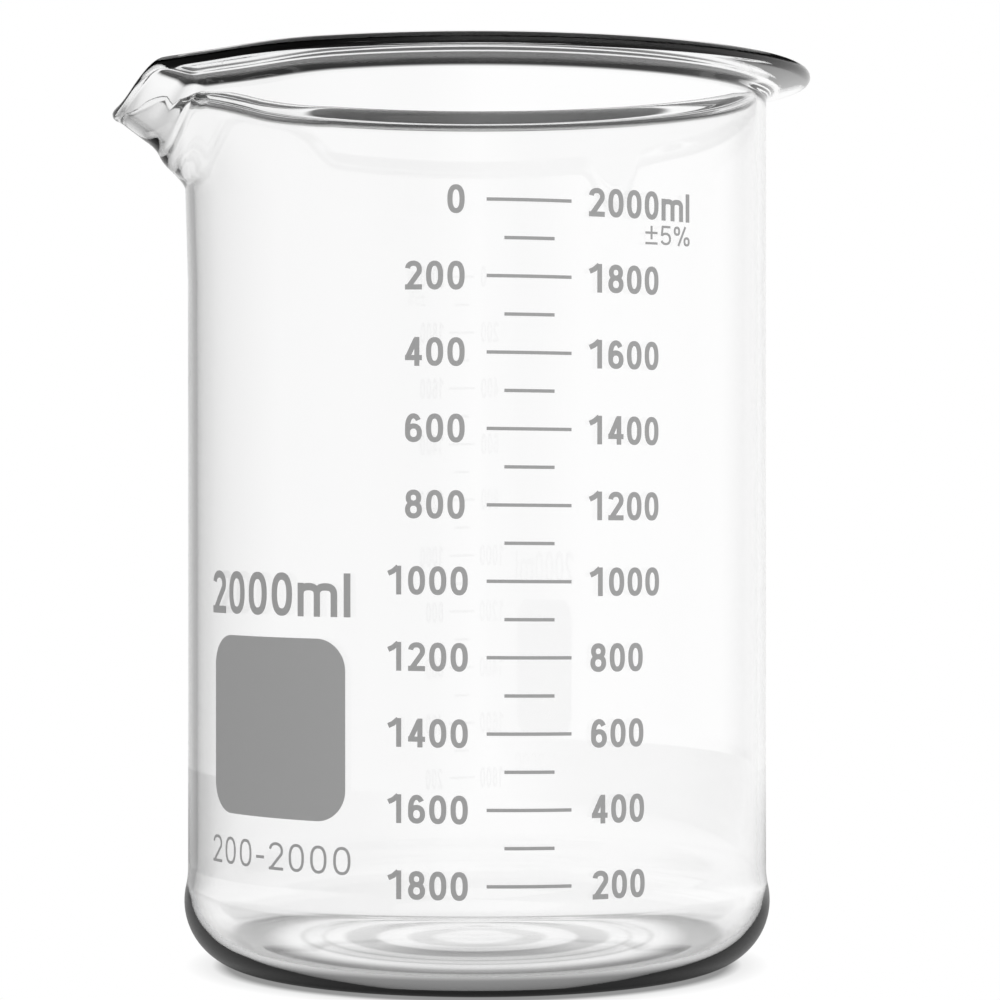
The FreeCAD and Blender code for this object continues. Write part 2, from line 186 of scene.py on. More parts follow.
def add_piece(name, points, faces, material, finish, stands_for=(), crease=40):
    """A closed mesh of points and faces, smooth where its faces meet at less than the crease, in degrees.

    A piece with no finish belongs to the stage."""
    mesh = bpy.data.meshes.new(name)
    mesh.from_pydata(points, [], faces)
    mesh.polygons.foreach_set("use_smooth", np.ones(len(mesh.polygons), dtype=bool))
    mesh.set_sharp_from_angle(angle=math.radians(crease))
    mesh.materials.append(material)
    mesh.update()
    piece = bpy.data.objects.new(name, mesh)
    bpy.context.scene.collection.objects.link(piece)
    if finish is None:
        return
    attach(piece, BODY)
    if stands_for:
        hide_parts(*stands_for)


def grid_faces(rows, columns):
    """Quads between the rows of a grid whose columns close into a ring, its points counted row by row."""
    place = np.arange(rows * columns).reshape(rows, columns)
    beside = np.roll(place, -1, axis=1)
    return np.stack([place[:-1], beside[:-1], beside[1:], place[1:]], axis=-1).reshape(-1, 4)


def fan_faces(pole, ring, outwards):
    """Triangles from a pole to each side of a ring, turned the other way where they don't face outwards."""
    beside = np.roll(ring, -1)
    sides = (beside, ring) if outwards else (ring, beside)
    return np.column_stack([np.full(len(ring), pole), *sides])


def arc(centre, radius, first, last, count):
    """Points on a circle: the centre plus the radius times the cosine and sine of even steps, in degrees."""
    steps = np.radians(np.linspace(first, last, count))
    return np.column_stack([centre[0] + radius * np.cos(steps), centre[1] + radius * np.sin(steps)])


def line(start, end, count):
    """Evenly spaced points from the start to the end."""
    return np.linspace(start, end, count)


# Glass


def heel(corner, corner_radius, wall, hollow_radius):
    """The corner of the base from its flat up to the wall, as two tangent arcs.

    The first arc turns about the corner's centre until it meets the second, which bends the other way about
    a centre outside the wall and ends upright on it. The turn's cosine is the distance between the centres
    across, over the sum of the radii."""
    reach = corner_radius + hollow_radius
    turn = math.acos((wall + hollow_radius - corner[0]) / reach)
    hollow = (wall + hollow_radius, corner[1] + reach * math.sin(turn))
    turn = math.degrees(turn)
    lower = arc(corner, corner_radius, -90, turn, 30)
    return np.vstack([lower, arc(hollow, hollow_radius, 180 + turn, 180, 16)])


def flange(wall, bend, slope, lip, below):
    """The centre of a wall's bend, and the ends of the straight from there to the lip.

    The straight rises outwards at the slope and runs below the lip's centre by the given distance, or above
    it where that is negative. The bend touches it and the wall, which gives the height of its centre."""
    turn = math.radians(slope)
    upwards = np.array([-math.sin(turn), math.cos(turn)])
    height = lip[1] - (bend + below + (lip[0] - wall - bend) * math.sin(turn)) / math.cos(turn)
    centre = np.array([wall + bend, height])
    return centre, centre + bend * upwards, lip - below * upwards


def glass_section(s):
    """Half section of the glass as points (radius, height), from under the base, up outside and down inside.

    Base: a flat ring round a shallow dome, whose radius is (dish radius squared + rise squared) / (2 rise).
    Rim: a bend out of the wall, a nearly flat flange and the bead, all tangent, outside and inside."""
    inside = s.wall_radius - s.wall_thickness
    dome = (s.dish_radius ** 2 + s.dish_rise ** 2) / (2 * s.dish_rise)
    dome_edge = math.degrees(math.acos(s.dish_radius / dome))
    outer_flat = s.wall_radius + s.heel_bulge - s.outer_corner
    inner_flat = inside + s.heel_bulge - s.inner_corner
    floor = s.base_thickness
    root = s.rim_height - s.spout_height

    bead = s.lip_diameter / 2
    lip = np.array([s.rim_radius - bead, s.rim_height - bead])
    outer_centre, outer_end, lower_edge = flange(s.wall_radius, s.outer_bend, s.underside_slope, lip, bead)
    inner_centre, inner_end, upper_edge = flange(inside, s.inner_bend, s.top_slope, lip, -bead)

    outer_heel = heel((outer_flat, s.outer_corner), s.outer_corner, s.wall_radius, s.heel_hollow)
    inner_heel = heel((inner_flat, floor + s.inner_corner), s.inner_corner, inside,
                      s.heel_hollow + s.wall_thickness)
    parts = [
        arc((0, s.dish_rise - dome), dome, 90, dome_edge, 14),
        line((s.dish_radius, 0), (outer_flat, 0), 4),
        outer_heel,
        line(outer_heel[-1], (s.wall_radius, root), 8),
        line((s.wall_radius, root), (s.wall_radius, outer_centre[1]), 16),
        arc(outer_centre, s.outer_bend, 180, 90 + s.underside_slope, 12),
        line(outer_end, lower_edge, 8),
        arc(lip, bead, s.underside_slope - 90, 90 + s.top_slope, 28),
        line(upper_edge, inner_end, 8),
        arc(inner_centre, s.inner_bend, 90 + s.top_slope, 180, 14),
        line((inside, inner_centre[1]), (inside, root), 16),
        line((inside, root), inner_heel[-1], 8),
        inner_heel[::-1],
        line((inner_flat, floor), (s.dish_radius, floor), 4),
        arc((0, s.dish_rise + floor - dome), dome, dome_edge, 90, 14),
    ]
    return np.vstack([parts[0]] + [part[1:] for part in parts[1:]])


def hump(bearing, half_angle, roundness, tip=0.0):
    """1 in the middle, falling smoothly to 0 at the half angle: (1 - share of it to the roundness) squared.

    A tip rounds off the point in the middle: the share is that of the root of (bearing squared + tip
    squared)."""
    share_of_angle = np.minimum(np.hypot(bearing, tip) / half_angle, 1.0)
    return (1 - share_of_angle ** roundness) ** 2


# The least share of the spout's pull that still moves the glass
FIRST_TRACE = 0.01


def pull_spout(points, s):
    """Moves points of the round rim to where they go when the spout is drawn out of it.

    The pull grows evenly with height from the spout's root until it is whole. It sets in and levels off along
    hyperbolas: the growth is the difference of two ramps, each (z + the root of z squared + softness squared)
    / 2. Its first trace is cut off, so that the glass far below the root stays round. Across, the rim moves
    out and down in two humps about -X, and in by a hump on each side where it is pressed. The drop is greater
    the nearer a point is to the wall, so that the wall under the spout sags with it."""
    x, y, z = points.T

    def ramp(height):
        return (height + np.hypot(height, s.spout_softness)) / 2

    def pull(height):
        return ramp(height) - ramp(height - s.spout_rise)

    growth = pull(z - (s.rim_height - s.spout_height)) / pull(s.spout_height)
    growth = np.maximum(growth - FIRST_TRACE, 0) / (1 - FIRST_TRACE)
    bearing = np.abs(np.degrees(np.arctan2(y, -x)))
    out = s.spout_reach * hump(bearing, s.reach_half_angle, s.reach_roundness, s.tip_rounding)
    pressed = s.pinch_depth * hump(bearing - s.pinch_bearing, s.pinch_half_angle, s.pinch_roundness)
    radius = np.hypot(x, y)
    inwards = np.clip((s.rim_radius - s.lip_diameter / 2 - radius) / (s.rim_radius - s.wall_radius), 0, 1)
    down = s.spout_drop + s.spout_sag * inwards
    down = down * hump(bearing, s.drop_half_angle, s.drop_roundness, s.tip_rounding)
    stretch = 1 + (out - pressed) * growth / radius
    return np.column_stack([x * stretch, y * stretch, z - down * growth])


def glass_surface(s):
    """The section turned about Z, with its rim pulled: a function of the place along it and of a turn t.

    The bearing from the spout is t - sin(t) / 2, so the steps are half as long at the spout as on average."""
    section = glass_section(s)
    turn = np.arange(s.segments) * 2 * np.pi / s.segments
    bearing = np.pi + turn - 0.5 * np.sin(turn)
    rings = section[1:-1]
    radius = rings[:, :1]
    points = np.stack([radius * np.cos(bearing), radius * np.sin(bearing),
                       np.broadcast_to(rings[:, 1:], (len(rings), s.segments))], axis=-1).reshape(-1, 3)
    poles = [[0, 0, section[0, 1]], [0, 0, section[-1, 1]]]
    quads = grid_faces(len(rings), s.segments)
    last = len(points)
    under = fan_faces(last, np.arange(s.segments), True)
    inside = fan_faces(last + 1, np.arange(last - s.segments, last), False)
    return np.vstack([pull_spout(points, s), poles]), quads.tolist() + under.tolist() + inside.tolist()


# Print


def on_wall(flat, bearing, radius, wall_radius):
    """Wraps points (along the wall, height) round it: the bearing grows by length over the wall's radius."""
    turn = math.radians(bearing) + flat[..., 0] / wall_radius
    return np.stack([radius * np.cos(turn), radius * np.sin(turn), flat[..., 1]], axis=-1)


def bowl(centre, half, first=0, last=360, squareness=2.4, count=41):
    """Points on a superellipse: centre + half size times cosine and sine, both to the 2 / squareness."""
    steps = np.radians(np.linspace(first, last, count))
    wave = np.column_stack([np.cos(steps), np.sin(steps)])
    return np.array(centre) + np.array(half) * np.sign(wave) * np.abs(wave) ** (2 / squareness)


def glyph(sign, bold):
    """Centre lines of a sign that is 1 high, for a pen as wide as bold, and the width that the sign takes.

    A closed line ends where it starts. Curves are superellipses and the rest is straight. A level line has
    more points than its two ends, because it bends round the wall."""
    r = bold / 2
    wide = {"m": 1.02, "l": bold, "%": 0.95, "±": 0.62, "-": 0.36}.get(sign, 0.6)
    mid, left, right, top = wide / 2, r, wide - r, 1 - r
    half = mid - r
    if sign == "0":
        lines = [bowl((mid, 0.5), (half, 0.5 - r))]
    elif sign == "1":
        stem = 0.68 * wide
        flag = np.array([(0.03, 0.73), (0.5 * stem, 0.81), (stem - 0.02, 0.965)])
        lines = [line((stem, 0), (stem, 1), 2), flag]
    elif sign == "2":
        hook = bowl((mid, 0.70), (half, 0.3 - r), 172, -28, 2.2, 25)
        lines = [np.vstack([hook, line(hook[-1], (left + 0.03, r), 4)[1:]]), line((0, r), (wide, r), 7)]
    elif sign == "4":
        stem = 0.7 * wide
        lines = [line((stem, 0), (stem, 1), 2), line((0, 0.285), (wide, 0.285), 7),
                 line((stem - 0.03, 0.93), (left, 0.3), 2)]
    elif sign == "5":
        cup = bowl((mid, 0.325), (half, 0.325 - r), 142, -158, 2.2, 25)
        back = np.array([(right + 0.3 * r, top), (left + 0.075, top), (left + 0.03, 0.47)])
        lines = [back, cup]
    elif sign == "6":
        back = bowl((mid, 0.5), (half, 0.5 - r), 38, 180, 2.2, 21)
        lines = [np.vstack([back, [(left, 0.32)]]), bowl((mid, 0.325), (half, 0.325 - r), squareness=2.2)]
    elif sign == "8":
        waist = 0.53
        lines = [bowl((mid, (r + waist) / 2), (half, (waist - r) / 2), squareness=2.2),
                 bowl((mid, (top + waist) / 2), (half * 0.88, (top - waist) / 2), squareness=2.2)]
    elif sign == "m":
        height, spring = 0.77, 0.5
        arch = bowl(((left + mid) / 2, spring), ((mid - left) / 2, height - r - spring), 180, 0, 2.6, 17)
        arch = np.vstack([arch, [(mid, 0)]])
        lines = [line((left, 0), (left, height), 2), arch, arch + (mid - left, 0)]
    elif sign == "l":
        lines = [line((mid, 0), (mid, 1), 2)]
    elif sign == "%":
        ring = (0.19 - r, 0.24 - r)
        lines = [bowl((0.19, 0.76), ring), bowl((wide - 0.19, 0.24), ring),
                 line((0.27, 0), (wide - 0.27, 1), 2)]
    elif sign == "±":
        lines = [line((mid, 0.26), (mid, 0.96), 2), line((0, 0.6), (wide, 0.6), 7),
                 line((0, r), (wide, r), 7)]
    elif sign == "-":
        lines = [line((0, 0.42), (wide, 0.42), 7)]
    else:
        raise ValueError(f"there is no shape for the sign {sign}")
    return lines, wide


def lettering(text, height, bold, start, foot, width=None, align=0.0, spacing=0.145):
    """Centre lines of a row of signs, each with the pen's width and its turn in the sign.

    A start of 0 is the bearing's own. Align is the share of the row's width that lies left of the start, and
    a width stretches the row to it. Spacing is the space between two signs, as a share of the height."""
    strokes, at = [], 0.0
    for sign in text:
        lines, wide = glyph(sign, bold)
        strokes += [(path + (at, 0), turn) for turn, path in enumerate(lines)]
        at += wide + spacing
    across = height if width is None else width / (at - spacing)
    left = start - align * (at - spacing) * across
    return [(path * (across, height) + (left, foot), bold * height, turn) for path, turn in strokes]


def stroke_solid(path, width, turn, bearing, wall_radius, sizes, first):
    """A flat stroke of enamel on the wall: a thin rectangle carried along its centre line.

    Each side lies half the width from the line, along the mitre of the two runs that meet at a point: the sum
    of their normals, over one plus the cosine of the angle between them."""
    closed = np.allclose(path[0], path[-1])
    if closed:
        path = path[:-1]
    runs = np.roll(path, -1, axis=0) - path
    normals = np.column_stack([-runs[:, 1], runs[:, 0]]) / np.linalg.norm(runs, axis=1, keepdims=True)
    if not closed:
        normals[-1] = normals[-2]
    before = np.roll(normals, 1, axis=0)
    if not closed:
        before[0] = normals[0]
    mitre = (normals + before) / (1 + np.sum(normals * before, axis=1, keepdims=True)) * width / 2
    outside, back = wall_radius + sizes.thickness + turn * sizes.overlap, wall_radius - sizes.depth
    rails = [(path + mitre, outside), (path - mitre, outside), (path - mitre, back), (path + mitre, back)]
    points = np.stack([on_wall(side, bearing, radius, wall_radius) for side, radius in rails], axis=1)
    place = first + np.arange(len(path) * 4).reshape(-1, 4)
    ahead = np.roll(place, -1, axis=0)
    quads = np.stack([place, np.roll(place, -1, axis=1), np.roll(ahead, -1, axis=1), ahead], axis=-1)
    if closed:
        return points.reshape(-1, 3), quads.reshape(-1, 4).tolist()
    ends = [place[0, ::-1].tolist(), place[-1].tolist()]
    return points.reshape(-1, 3), quads[:-1].reshape(-1, 4).tolist() + ends


def add_print(name, strokes, bearing, glass, sizes, stands_for=(), tilt=0.0):
    """One piece of enamel of all the strokes, which fall to the right by the tilt times the way there."""
    points, faces = [], []
    for path, width, turn in strokes:
        path = path - tilt * path[:, :1] * (0, 1)
        solid, quads = stroke_solid(path, width, turn, bearing, glass.wall_radius, sizes, len(points))
        points += solid.tolist()
        faces += quads
    add_piece(name, points, faces, enamel_material(), "grey_enamel", stands_for)


def patch_surface(glass, sizes):
    """The marking patch: copies of its outline, shrunk to the middle and wrapped on the wall, front and back.

    The outline is a rectangle with round corners as seen straight on, so its bearing is the arcsine of the
    distance across over the wall's radius."""
    half = np.array([sizes.patch_width, sizes.patch_height]) / 2 - sizes.patch_corner
    rounds = [arc(half * sign, sizes.patch_corner, start, start + 90, 14)
              for sign, start in (((1, -1), -90), ((1, 1), 0), ((-1, 1), 90), ((-1, -1), 180))]
    outline = np.vstack([np.vstack([turn, line(turn[-1], following[0], 42)[1:-1]])
                         for turn, following in zip(rounds, rounds[1:] + rounds[:1])])
    rings = np.linspace(1, 0, 26)[:-1]
    flat = rings[:, None, None] * outline
    flat[..., 0] = np.arcsin(flat[..., 0] / glass.wall_radius) * glass.wall_radius
    flat[..., 1] += sizes.patch_bottom + sizes.patch_height / 2
    outside, back = glass.wall_radius + sizes.thickness, glass.wall_radius - sizes.depth
    front = on_wall(flat, sizes.patch_bearing, outside, glass.wall_radius)
    rear = on_wall(flat, sizes.patch_bearing, back, glass.wall_radius)
    points = np.concatenate([rear[::-1], front]).reshape(-1, 3)
    middle = np.array([[0, sizes.patch_bottom + sizes.patch_height / 2]])
    poles = [on_wall(middle, sizes.patch_bearing, radius, glass.wall_radius)[0] for radius in (back, outside)]
    columns = len(outline)
    last = len(points)
    faces = grid_faces(2 * len(rings), columns).tolist()
    faces += fan_faces(last, np.arange(columns), True).tolist()
    faces += fan_faces(last + 1, np.arange(last - columns, last), False).tolist()
    return np.vstack([points, poles]), faces


# Materials


def add_node(tree, kind, settings=(), inputs=(), links=()):
    """Adds a node with its settings, the values of its inputs, and the outputs that feed them."""
    node = tree.nodes.new(kind)
    for name, value in dict(settings).items():
        setattr(node, name, value)
    for socket, value in dict(inputs).items():
        node.inputs[socket].default_value = value
    for socket, source in dict(links).items():
        tree.links.new(source, node.inputs[socket])
    return node


def new_material(name):
    """A material without nodes, and its node tree."""
    material = bpy.data.materials.new(name)
    material.use_nodes = True
    material.node_tree.nodes.clear()
    return material, material.node_tree


# How many rings a wave texture of scale 1 draws in one unit of length
WAVES_PER_UNIT = 3.2


def glass_material():
    """Borosilicate glass 3.3, blown and fire-polished: clear, dark at its edges and never quite even.

    The wall's faint waves come from blowing and run up and down, about 20 mm apart. They bend what is seen
    through the glass a little and keep its highlights from being ruler-straight. The base has faint rings,
    14 mm apart, from the turning mould. They fade out in the rounded corner."""
    material, tree = new_material("borosilicate_glass")
    finishes = bpy.context.scene.beaker_finishes
    place = add_node(tree, "ShaderNodeTexCoord")
    stretched = add_node(tree, "ShaderNodeMapping", inputs={"Scale": (1, 1, 0.25)},
                         links={"Vector": place.outputs["Object"]})
    waves = add_node(tree, "ShaderNodeTexNoise", inputs={"Scale": 1 / (20 * MM), "Detail": 1.0},
                     links={"Vector": stretched.outputs["Vector"]})
    rings = add_node(tree, "ShaderNodeTexWave", {"wave_type": "RINGS", "rings_direction": "Z"},
                     {"Scale": 1 / (WAVES_PER_UNIT * 14 * MM), "Distortion": 1.5, "Detail": 1.0,
                     "Detail Scale": 0.6},
                     {"Vector": place.outputs["Object"]})
    parts = add_node(tree, "ShaderNodeSeparateXYZ", links={0: place.outputs["Object"]})
    base = add_node(tree, "ShaderNodeMapRange", {"interpolation_type": "SMOOTHSTEP"},
                    {"From Min": 4 * MM, "From Max": 9 * MM, "To Min": 0.8, "To Max": 0.0},
                    {"Value": parts.outputs["Z"]})
    relief = add_node(tree, "ShaderNodeMath", {"operation": "MULTIPLY_ADD"},
                      links={0: rings.outputs["Fac"], 1: base.outputs["Result"], 2: waves.outputs["Fac"]})
    bump = add_node(tree, "ShaderNodeBump", inputs={"Strength": 0.15, "Distance": 0.15 * MM},
                    links={"Height": relief.outputs["Value"]})
    shader = add_node(tree, "ShaderNodeBsdfPrincipled", inputs={
        "Base Color": (*finishes.glass, 1), "IOR": 1.473, "Roughness": 0.0, "Transmission Weight": 1.0,
    }, links={"Normal": bump.outputs["Normal"]})
    add_node(tree, "ShaderNodeOutputMaterial", links={"Surface": shader.outputs["BSDF"]})
    return material


def enamel_material():
    """Glass enamel, screen-printed and fired: a satin grey with fine grain and cloudy patches.

    The grain is that of the ground frit, drawn at 0.35 mm so that it shows; the clouds, 7 mm wide, are where
    the screen laid the paste thicker or thinner."""
    name = "grey_enamel"
    if name in bpy.data.materials:
        return bpy.data.materials[name]
    material, tree = new_material(name)
    finishes = bpy.context.scene.beaker_finishes
    place = add_node(tree, "ShaderNodeTexCoord").outputs["Object"]
    clouds = add_node(tree, "ShaderNodeTexNoise", inputs={"Scale": 1 / (7 * MM), "Detail": 3.0},
                      links={"Vector": place})
    grain = add_node(tree, "ShaderNodeTexNoise", inputs={"Scale": 1 / (0.35 * MM), "Detail": 2.0},
                     links={"Vector": place})
    mixed = add_node(tree, "ShaderNodeMath", {"operation": "MULTIPLY_ADD"}, {1: 0.45},
                     {0: grain.outputs["Fac"], 2: clouds.outputs["Fac"]})
    density = add_node(tree, "ShaderNodeMapRange", inputs={"From Min": 0.45, "From Max": 1.0},
                       links={"Value": mixed.outputs["Value"]})
    tone = add_node(tree, "ShaderNodeMix", {"data_type": "RGBA"},
                    {6: (*finishes.enamel, 1), 7: (*finishes.enamel_light, 1)},
                    {0: density.outputs["Result"]})
    gloss = add_node(tree, "ShaderNodeMapRange", inputs={"To Min": 0.42, "To Max": 0.62},
                     links={"Value": grain.outputs["Fac"]})
    bump = add_node(tree, "ShaderNodeBump", inputs={"Strength": 0.25, "Distance": 0.02 * MM},
                    links={"Height": grain.outputs["Fac"]})
    shader = add_node(tree, "ShaderNodeBsdfPrincipled", inputs={"IOR": 1.5}, links={
        "Base Color": tone.outputs[2],
        "Roughness": gloss.outputs["Result"],
        "Normal": bump.outputs["Normal"],
    })
    add_node(tree, "ShaderNodeOutputMaterial", links={"Surface": shader.outputs["BSDF"]})
    return material


# Distance from the axis as a share of the painted field, and how bright the floor is painted there: painted
# rings of light where light through the base would fall, the heel's painted shadow, and plain white outside.
PAINTED_LIGHT_FIELD = 100 * MM
PAINTED_FLOOR_LIGHT = ((0.0, 0.95), (0.09, 0.92), (0.11, 0.55), (0.15, 0.58), (0.165, 0.98), (0.22, 0.98),
               (0.235, 0.42), (0.295, 0.48), (0.31, 0.99), (0.34, 0.98), (0.35, 0.65), (0.36, 0.98),
               (0.385, 0.97), (0.40, 0.60), (0.41, 0.97), (0.43, 0.92), (0.49, 0.25), (0.565, 0.30),
               (0.60, 0.85), (0.66, 1.0))
# Which way a ray leaves the glass, as its X from -1 to 1 brought to 0 to 1, and how bright the room is there:
# darker a little to the left.
ROOM_LIGHT = ((0.0, 1.0), (0.12, 1.0), (0.24, 0.55), (0.31, 0.45), (0.36, 0.62), (0.425, 0.74), (0.455, 0.90),
              (0.485, 1.0))
# The same for the floor far from the object, seen from a point on the left of the wall: painted shade, darker
# to the left.
PAINTED_SIDE_SHADE = ((0.0, 0.05), (0.20, 0.20), (0.31, 0.45), (0.36, 0.62), (0.425, 0.74), (0.455, 0.90),
              (0.485, 1.0))
SIDE_POINT = 65 * MM
# Distances from the axis between which the floor turns to that, and those between which its mirror image in the
# glass grows from dim to bright, a painted shade in its reflection.
SIDE_FIELD = (100 * MM, 250 * MM)
IMAGE_FIELD = (120 * MM, 500 * MM)
PAINTED_IMAGE_LIGHT = (0.3, 0.9)


def set_ramp(node, stops):
    """Gives a colour ramp its stops, each a place and a grey value."""
    stops_there = node.color_ramp.elements
    while len(stops_there) < len(stops):
        stops_there.new(1.0)
    for stop, (place, value) in zip(stops_there, stops):
        stop.position, stop.color = place, (value, value, value, 1)


def floor_material():
    """Matt white paper, pale and even, with a faint tooth. Seen straight or through the glass it is plain
    white, with painted light and a painted shadow where a glass vessel would throw them on it."""
    material, tree = new_material("floor_paper")
    finishes = bpy.context.scene.beaker_finishes
    place = add_node(tree, "ShaderNodeTexCoord").outputs["Object"]
    tooth = add_node(tree, "ShaderNodeTexNoise", inputs={"Scale": 1 / (0.8 * MM)}, links={"Vector": place})
    bump = add_node(tree, "ShaderNodeBump", inputs={"Strength": 0.1, "Distance": 0.02 * MM},
                    links={"Height": tooth.outputs["Fac"]})
    paper = add_node(tree, "ShaderNodeBsdfPrincipled",
                     inputs={"Base Color": (*finishes.floor, 1), "Roughness": 0.8},
                     links={"Normal": bump.outputs["Normal"]})

    apart = add_node(tree, "ShaderNodeVectorMath", {"operation": "LENGTH"}, links={0: place}).outputs["Value"]
    across = add_node(tree, "ShaderNodeMapRange", inputs={"From Max": PAINTED_LIGHT_FIELD}, links={"Value": apart})
    # Painted light and painted shadow: rings of light and the heel's shadow on the floor, drawn by distance
    # from the axis.
    painted_floor_ramp = add_node(tree, "ShaderNodeValToRGB", links={"Fac": across.outputs["Result"]})
    set_ramp(painted_floor_ramp, PAINTED_FLOOR_LIGHT)
    x = add_node(tree, "ShaderNodeSeparateXYZ", links={0: place}).outputs["X"]
    x = add_node(tree, "ShaderNodeMath", {"operation": "ADD"}, {1: SIDE_POINT}, {0: x}).outputs["Value"]
    aside = add_node(tree, "ShaderNodeMath", {"operation": "DIVIDE"}, links={0: x, 1: apart})
    aside = add_node(tree, "ShaderNodeMapRange", inputs={"From Min": -1},
                     links={"Value": aside.outputs["Value"]})
    # Painted shade: the floor far from the object darker to the left where the glass shows it.
    sides = add_node(tree, "ShaderNodeValToRGB", links={"Fac": aside.outputs["Result"]})
    set_ramp(sides, PAINTED_SIDE_SHADE)
    far = add_node(tree, "ShaderNodeMapRange",
                   inputs={"From Min": SIDE_FIELD[0], "From Max": SIDE_FIELD[1]}, links={"Value": apart})
    camera = add_node(tree, "ShaderNodeLightPath").outputs["Is Camera Ray"]
    far = add_node(tree, "ShaderNodeMath", {"operation": "SUBTRACT", "use_clamp": True},
                   links={0: far.outputs["Result"], 1: camera})
    # The floor's painted light and painted shade, which its emission shows to rays seen directly.
    light = add_node(tree, "ShaderNodeMix", {"data_type": "RGBA", "blend_type": "MULTIPLY"}, links={
        0: far.outputs["Value"], 6: painted_floor_ramp.outputs["Color"], 7: sides.outputs["Color"]})

    # Painted shade: the floor's mirror image in the glass dimmer near the object.
    image = add_node(tree, "ShaderNodeMapRange", inputs={
        "From Min": IMAGE_FIELD[0], "From Max": IMAGE_FIELD[1], "To Min": PAINTED_IMAGE_LIGHT[0],
        "To Max": PAINTED_IMAGE_LIGHT[1]}, links={"Value": apart})
    strength = add_node(tree, "ShaderNodeMix", inputs={2: 1.0},
                        links={0: mirrored(tree), 3: image.outputs["Result"]})
    white = add_node(tree, "ShaderNodeEmission",
                     links={"Color": light.outputs[2], "Strength": strength.outputs[0]})
    both = add_node(tree, "ShaderNodeMixShader",
                    links={0: seen_directly(tree), 1: paper.outputs["BSDF"], 2: white.outputs["Emission"]})
    add_node(tree, "ShaderNodeOutputMaterial", links={"Surface": both.outputs["Shader"]})
    return material


def mirrored(tree):
    """1 for a ray that a surface has mirrored, and 0 for one that went through glass."""
    path = add_node(tree, "ShaderNodeLightPath")
    mirror = add_node(tree, "ShaderNodeMath", {"operation": "SUBTRACT", "use_clamp": True},
                      links={0: path.outputs["Is Glossy Ray"], 1: path.outputs["Is Transmission Ray"]})
    return mirror.outputs["Value"]


def seen_directly(tree):
    """1 for a ray from the camera, mirrored by a surface or through glass, and 0 for light that is spread."""
    path = add_node(tree, "ShaderNodeLightPath")
    sharp = add_node(tree, "ShaderNodeMath", {"operation": "ADD"},
                     links={0: path.outputs["Is Camera Ray"], 1: path.outputs["Is Transmission Ray"]})
    seen = add_node(tree, "ShaderNodeMath", {"operation": "ADD", "use_clamp": True},
                    links={0: sharp.outputs["Value"], 1: path.outputs["Is Glossy Ray"]})
    return seen.outputs["Value"]


# Stage

# How far the floor lies below the standing ring, so that the two never share a plane
FLOOR_GAP = 0.05 * MM
# Place and side of the two square lamps
KEY_LAMP = (0.9, -0.8, 1.0), 0.8
FILL_LAMP = (-1.0, -0.6, 0.7), 0.6
# How high the way of a ray points where the ceiling begins and where it is as dark as it gets
CEILING = (0.24, 0.32)
CEILING_LIGHT = 0.03
# Way to the side, from the spout's side on, over which the room's mirror image grows from dim to white
DIM_SIDE = (-0.9, 0.1)
DIM_LIGHT = 0.1
# How high the way of a mirrored ray points where the softbox begins and where it is whole
SOFTBOX = (0.45, 0.55)


def add_floor(stage):
    """A round floor: a grid of radius and bearing, closed at its middle."""
    columns, rows = 96, 24
    turn = np.arange(columns) * 2 * np.pi / columns
    radius = stage.floor_radius * np.linspace(0, 1, rows + 1)[1:, None]
    points = np.stack([radius * np.cos(turn), radius * np.sin(turn),
                       np.full((rows, columns), -FLOOR_GAP)], axis=-1).reshape(-1, 3)
    faces = grid_faces(rows, columns)[:, ::-1].tolist()
    faces += fan_faces(len(points), np.arange(columns), False).tolist()
    add_piece("floor", np.vstack([points, [[0, 0, -FLOOR_GAP]]]), faces, floor_material(), None)


def add_lamp(name, place, side, watts):
    """A soft square lamp turned to the middle of the beaker. It lights what is matt, and the glass neither
    mirrors it nor shows it."""
    data = bpy.data.lights.new(name, "AREA")
    data.shape = "RECTANGLE"
    data.size, data.size_y, data.energy = side, side, watts
    lamp = bpy.data.objects.new(name, data)
    lamp.location = place
    aim = Vector((0, 0, GLASS_HIGH.z / 2))
    lamp.rotation_euler = (aim - Vector(place)).to_track_quat("-Z", "Y").to_euler()
    lamp.visible_glossy = lamp.visible_transmission = False
    bpy.context.scene.collection.objects.link(lamp)


